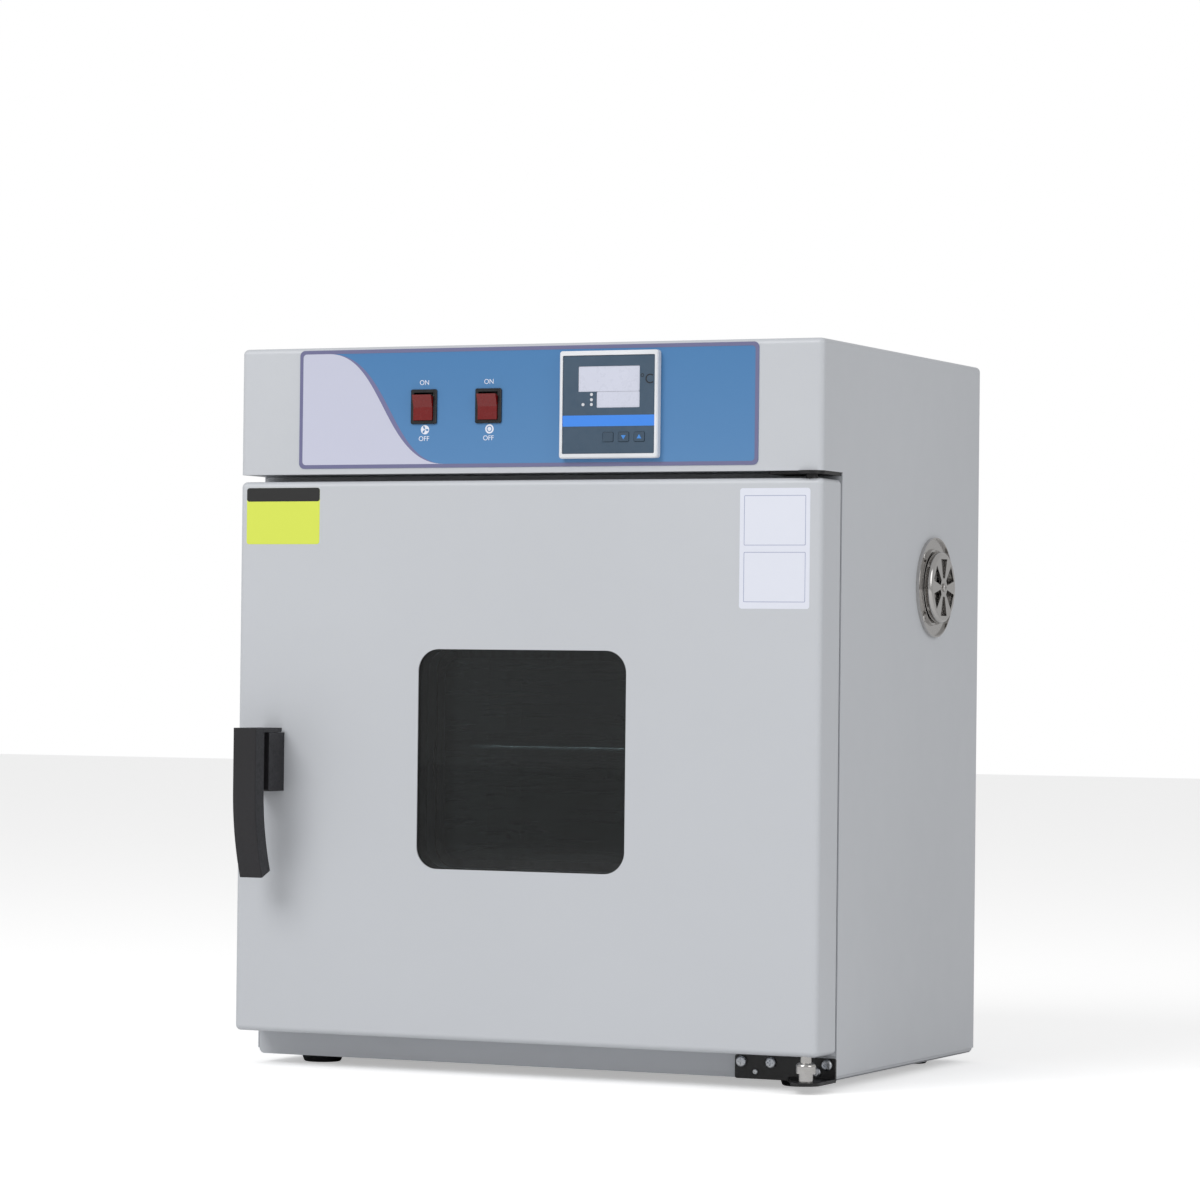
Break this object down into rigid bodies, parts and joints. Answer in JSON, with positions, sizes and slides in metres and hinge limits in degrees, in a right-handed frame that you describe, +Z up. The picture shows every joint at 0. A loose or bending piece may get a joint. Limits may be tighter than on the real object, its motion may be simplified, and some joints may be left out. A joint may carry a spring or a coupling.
{
  "type": "forced-air laboratory incubator",
  "caption": "Bench-top forced-air incubator: grey painted cabinet with a glazed right-hinged door, lever latch, header controls, wire shelf, blower and side air damper.",
  "frame": {"origin": "middle of the bottom of the whole object's box, on the surface that the feet stand on", "axes": "+Z up, -Y out of the door, +X to the right as seen from the front"},
  "size_m": [0.5904, 0.462, 0.661],
  "materials": {
    "grey_paint": "semi-gloss powder coat with a fine texture",
    "stainless": "brushed",
    "bright_steel": "polished",
    "zinc_steel": "zinc plated",
    "black_paint": "satin black",
    "black_plastic": "fine grained",
    "switch_black": "smooth",
    "switch_red": "translucent red",
    "overlay_blue": "satin polyester overlay",
    "controller_white": "smooth",
    "controller_slate": "satin",
    "key_slate": "satin",
    "display": "pale film",
    "led": "clear",
    "clear_glass": "clear, faintly tinted",
    "black_rubber": "matt",
    "silicone": "matt silicone",
    "mineral_wool": "fibrous",
    "cast_aluminium": "cast"
  },
  "bodies": {
    "cabinet": {"back_panel": "grey_paint", "back_screws": "zinc_steel", "base_pan": "grey_paint", "cabinet_insulation": "mineral_wool", "chamber_liner": "stainless", "controller_case": "controller_white", "controller_face": "controller_slate", "display_windows": "display", "duct_plate": "stainless", "duct_screws": "zinc_steel", "fan_motor": "cast_aluminium", "fan_switch_housing": "switch_black", "front_frame": "grey_paint", "header_floor": "grey_paint", "heater_element": "zinc_steel", "hinge_screws": "zinc_steel", "indicator_leds": "led", "lower_hinge_bracket": "black_paint", "lower_hinge_pin": "bright_steel", "membrane_panel": "overlay_blue", "motor_bracket": "zinc_steel", "outer_shell": "grey_paint", "power_inlet": "black_plastic", "power_relay": "switch_black", "power_switch_housing": "switch_black", "rubber_feet": "black_rubber", "shelf_rails": "stainless", "striker": "zinc_steel", "temperature_probe": "stainless", "upper_hinge_bracket": "black_paint", "vent_flange": "bright_steel", "vent_pivot": "bright_steel", "vent_screws": "bright_steel", "vent_tube": "stainless"},
    "door": {"door_skin": "grey_paint", "door_inner_panel": "grey_paint", "door_insulation": "mineral_wool", "outer_glass": "clear_glass", "window_seal": "black_rubber", "window_frame": "stainless", "inner_glass": "clear_glass", "door_gasket": "silicone", "hinge_blocks": "zinc_steel", "latch_pocket": "stainless", "handle_block": "black_plastic", "handle_pin": "zinc_steel", "handle_screws": "zinc_steel"},
    "lever": {"handle_lever": "black_plastic", "latch_hook": "zinc_steel"},
    "fan_switch": {"fan_rocker": "switch_red"},
    "power_switch": {"power_rocker": "switch_red"},
    "key_set": {"set_key": "key_slate"},
    "key_down": {"down_key": "key_slate"},
    "key_up": {"up_key": "key_slate"},
    "damper": {"vent_cap": "bright_steel"},
    "blower": {"fan_impeller": "cast_aluminium", "fan_shaft": "zinc_steel"},
    "shelf": {"wire_shelf": "stainless"}
  },
  "joints": [
    {"name": "door_hinge", "type": "hinge", "parent": "cabinet", "child": "door", "pos_m": [0.26925, -0.168, 0.286], "axis": [0, 0, 1], "range_deg": [0, 110]},
    {"name": "lever_pivot", "type": "hinge", "parent": "door", "child": "lever", "pos_m": [-0.25795, -0.181, 0.3], "axis": [-1, 0, 0], "range_deg": [0, 20], "stiffness_Nm_per_rad": 0.4, "springref_deg": -8.59},
    {"name": "fan_rocker_tilt", "type": "hinge", "parent": "cabinet", "child": "fan_switch", "pos_m": [-0.10625, -0.175, 0.6054], "axis": [-1, 0, 0], "range_deg": [0, 16]},
    {"name": "power_rocker_tilt", "type": "hinge", "parent": "cabinet", "child": "power_switch", "pos_m": [-0.04135, -0.175, 0.6054], "axis": [-1, 0, 0], "range_deg": [0, 16]},
    {"name": "set_key_press", "type": "slide", "parent": "cabinet", "child": "key_set", "axis": [0, 1, 0], "range_m": [0, 0.0008], "stiffness_N_per_m": 300},
    {"name": "down_key_press", "type": "slide", "parent": "cabinet", "child": "key_down", "axis": [0, 1, 0], "range_m": [0, 0.0008], "stiffness_N_per_m": 300},
    {"name": "up_key_press", "type": "slide", "parent": "cabinet", "child": "key_up", "axis": [0, 1, 0], "range_m": [0, 0.0008], "stiffness_N_per_m": 300},
    {"name": "damper_turn", "type": "hinge", "parent": "cabinet", "child": "damper", "pos_m": [0.28275, 0.1056, 0.4483], "axis": [1, 0, 0], "range_deg": [0, 30]},
    {"name": "blower_spin", "type": "hinge", "parent": "cabinet", "child": "blower", "pos_m": [-0.00625, 0.144, 0.286], "axis": [0, 1, 0], "continuous": true},
    {"name": "shelf_slide", "type": "slide", "parent": "cabinet", "child": "shelf", "axis": [0, -1, 0], "range_m": [0, 0.18]}
  ],
  "couplings": [
    {"joint": "shelf_slide", "follows": "door_hinge", "m_per_rad": 0.0937}
  ]
}
